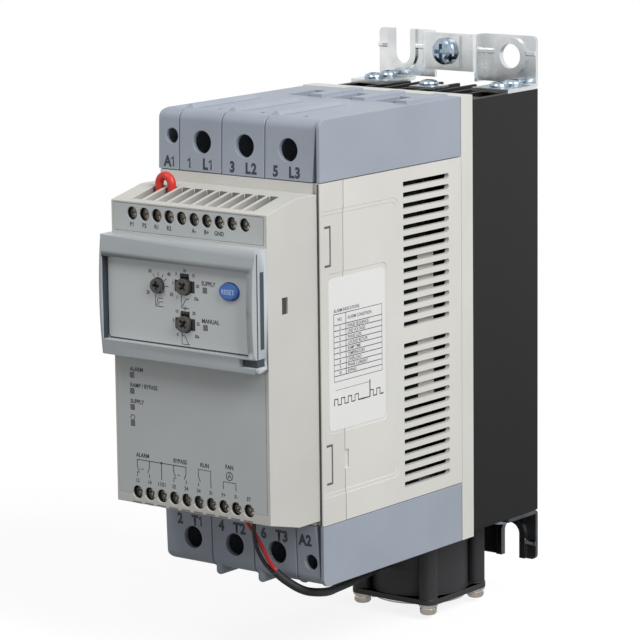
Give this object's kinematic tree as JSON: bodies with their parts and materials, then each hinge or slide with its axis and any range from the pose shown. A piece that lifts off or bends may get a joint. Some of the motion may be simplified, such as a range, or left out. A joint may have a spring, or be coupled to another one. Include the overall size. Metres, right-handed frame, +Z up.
{
  "type": "motor soft starter",
  "caption": "Panel-mounted three-phase motor soft starter with a control module, setting dials, reset button, covered power terminals, finned heatsink and cooling fan.",
  "frame": {"origin": "middle of the rear mounting plane, level with the middle of the housing's height", "axes": "+X to the right seen from the front, +Y back into the mounting panel, +Z up"},
  "size_m": [0.075, 0.1761, 0.2235],
  "materials": {
    "cream_plastic": "satin moulded",
    "cover_plastic": "satin moulded",
    "bezel_plastic": "satin moulded",
    "panel_film": "printed film",
    "settings_film": "printed film",
    "dial_plastic": "satin moulded",
    "button_plastic": "gloss",
    "lamp_plastic": "gloss",
    "black_anodised": "black anodised",
    "zinc_steel": "zinc plated",
    "screw_steel": "zinc plated",
    "terminal_nickel": "nickel plated",
    "clamp_steel": "zinc plated",
    "board_green": "solder mask",
    "relay_white": "satin moulded",
    "component_black": "moulded",
    "thermal_grey": "soft pad",
    "copper": "bare copper",
    "core_blue": "moulded",
    "fan_plastic": "satin moulded",
    "wire_red": "insulation",
    "wire_black": "insulation"
  },
  "bodies": {
    "chassis": {"heatsink": "black_anodised", "main_housing": "cream_plastic", "front_frame": "cream_plastic", "line_terminal_cover": "cover_plastic", "load_terminal_cover": "cover_plastic", "control_housing": "cream_plastic", "front_bezel": "bezel_plastic", "settings_panel": "settings_film", "upper_legend_panel": "panel_film", "lower_legend_panel": "panel_film", "status_lamps": "lamp_plastic", "upper_terminal_cages": "terminal_nickel", "lower_terminal_cages": "terminal_nickel", "upper_terminal_screws": "terminal_nickel", "lower_terminal_screws": "terminal_nickel", "control_board": "board_green", "dial_pots": "component_black", "reset_switch": "component_black", "riser_board": "board_green", "power_board": "board_green", "bypass_relays": "relay_white", "thyristor_modules": "component_black", "thermal_pads": "thermal_grey", "line_busbars": "copper", "load_busbars": "copper", "line_clamps": "clamp_steel", "load_clamps": "clamp_steel", "line_clamp_screws": "clamp_steel", "load_clamp_screws": "clamp_steel", "supply_clamps": "clamp_steel", "supply_clamp_screws": "clamp_steel", "current_transformers": "core_blue", "upper_bracket": "zinc_steel", "lower_bracket": "zinc_steel", "upper_bracket_screws": "screw_steel", "lower_bracket_screws": "screw_steel", "earth_screw": "screw_steel", "earth_washer": "zinc_steel", "port_screw": "screw_steel", "port_washer": "zinc_steel", "fan_adapter": "fan_plastic", "fan_frame": "fan_plastic", "fan_stator": "copper", "fan_bearings": "screw_steel", "fan_guard": "zinc_steel", "fan_screws": "screw_steel", "jumper_wire": "wire_red", "fan_lead_red": "wire_red", "fan_lead_black": "wire_black", "fan_lead_sleeve": "wire_black"},
    "current_dial": {"current_dial": "dial_plastic"},
    "ramp_up_dial": {"ramp_up_dial": "dial_plastic"},
    "ramp_down_dial": {"ramp_down_dial": "dial_plastic"},
    "reset_button": {"reset_button": "button_plastic"},
    "fan_rotor": {"fan_rotor": "fan_plastic", "fan_shaft": "screw_steel"}
  },
  "joints": [
    {"name": "current_dial_turn", "type": "hinge", "parent": "chassis", "child": "current_dial", "pos_m": [-0.0097, -0.1725, 0.0266], "axis": [0, 1, 0], "range_deg": [-135, 135]},
    {"name": "ramp_up_dial_turn", "type": "hinge", "parent": "chassis", "child": "ramp_up_dial", "pos_m": [0.0026, -0.1725, 0.0274], "axis": [0, 1, 0], "range_deg": [-135, 135]},
    {"name": "ramp_down_dial_turn", "type": "hinge", "parent": "chassis", "child": "ramp_down_dial", "pos_m": [0.0026, -0.1725, 0.0138], "axis": [0, 1, 0], "range_deg": [-135, 135]},
    {"name": "reset_press", "type": "slide", "parent": "chassis", "child": "reset_button", "axis": [0, 1, 0], "range_m": [0, 0.0008], "stiffness_N_per_m": 1500, "springref_m": -0.001},
    {"name": "fan_spin", "type": "hinge", "parent": "chassis", "child": "fan_rotor", "pos_m": [0, -0.0285, -0.1015], "axis": [0, 0, 1], "continuous": true}
  ]
}
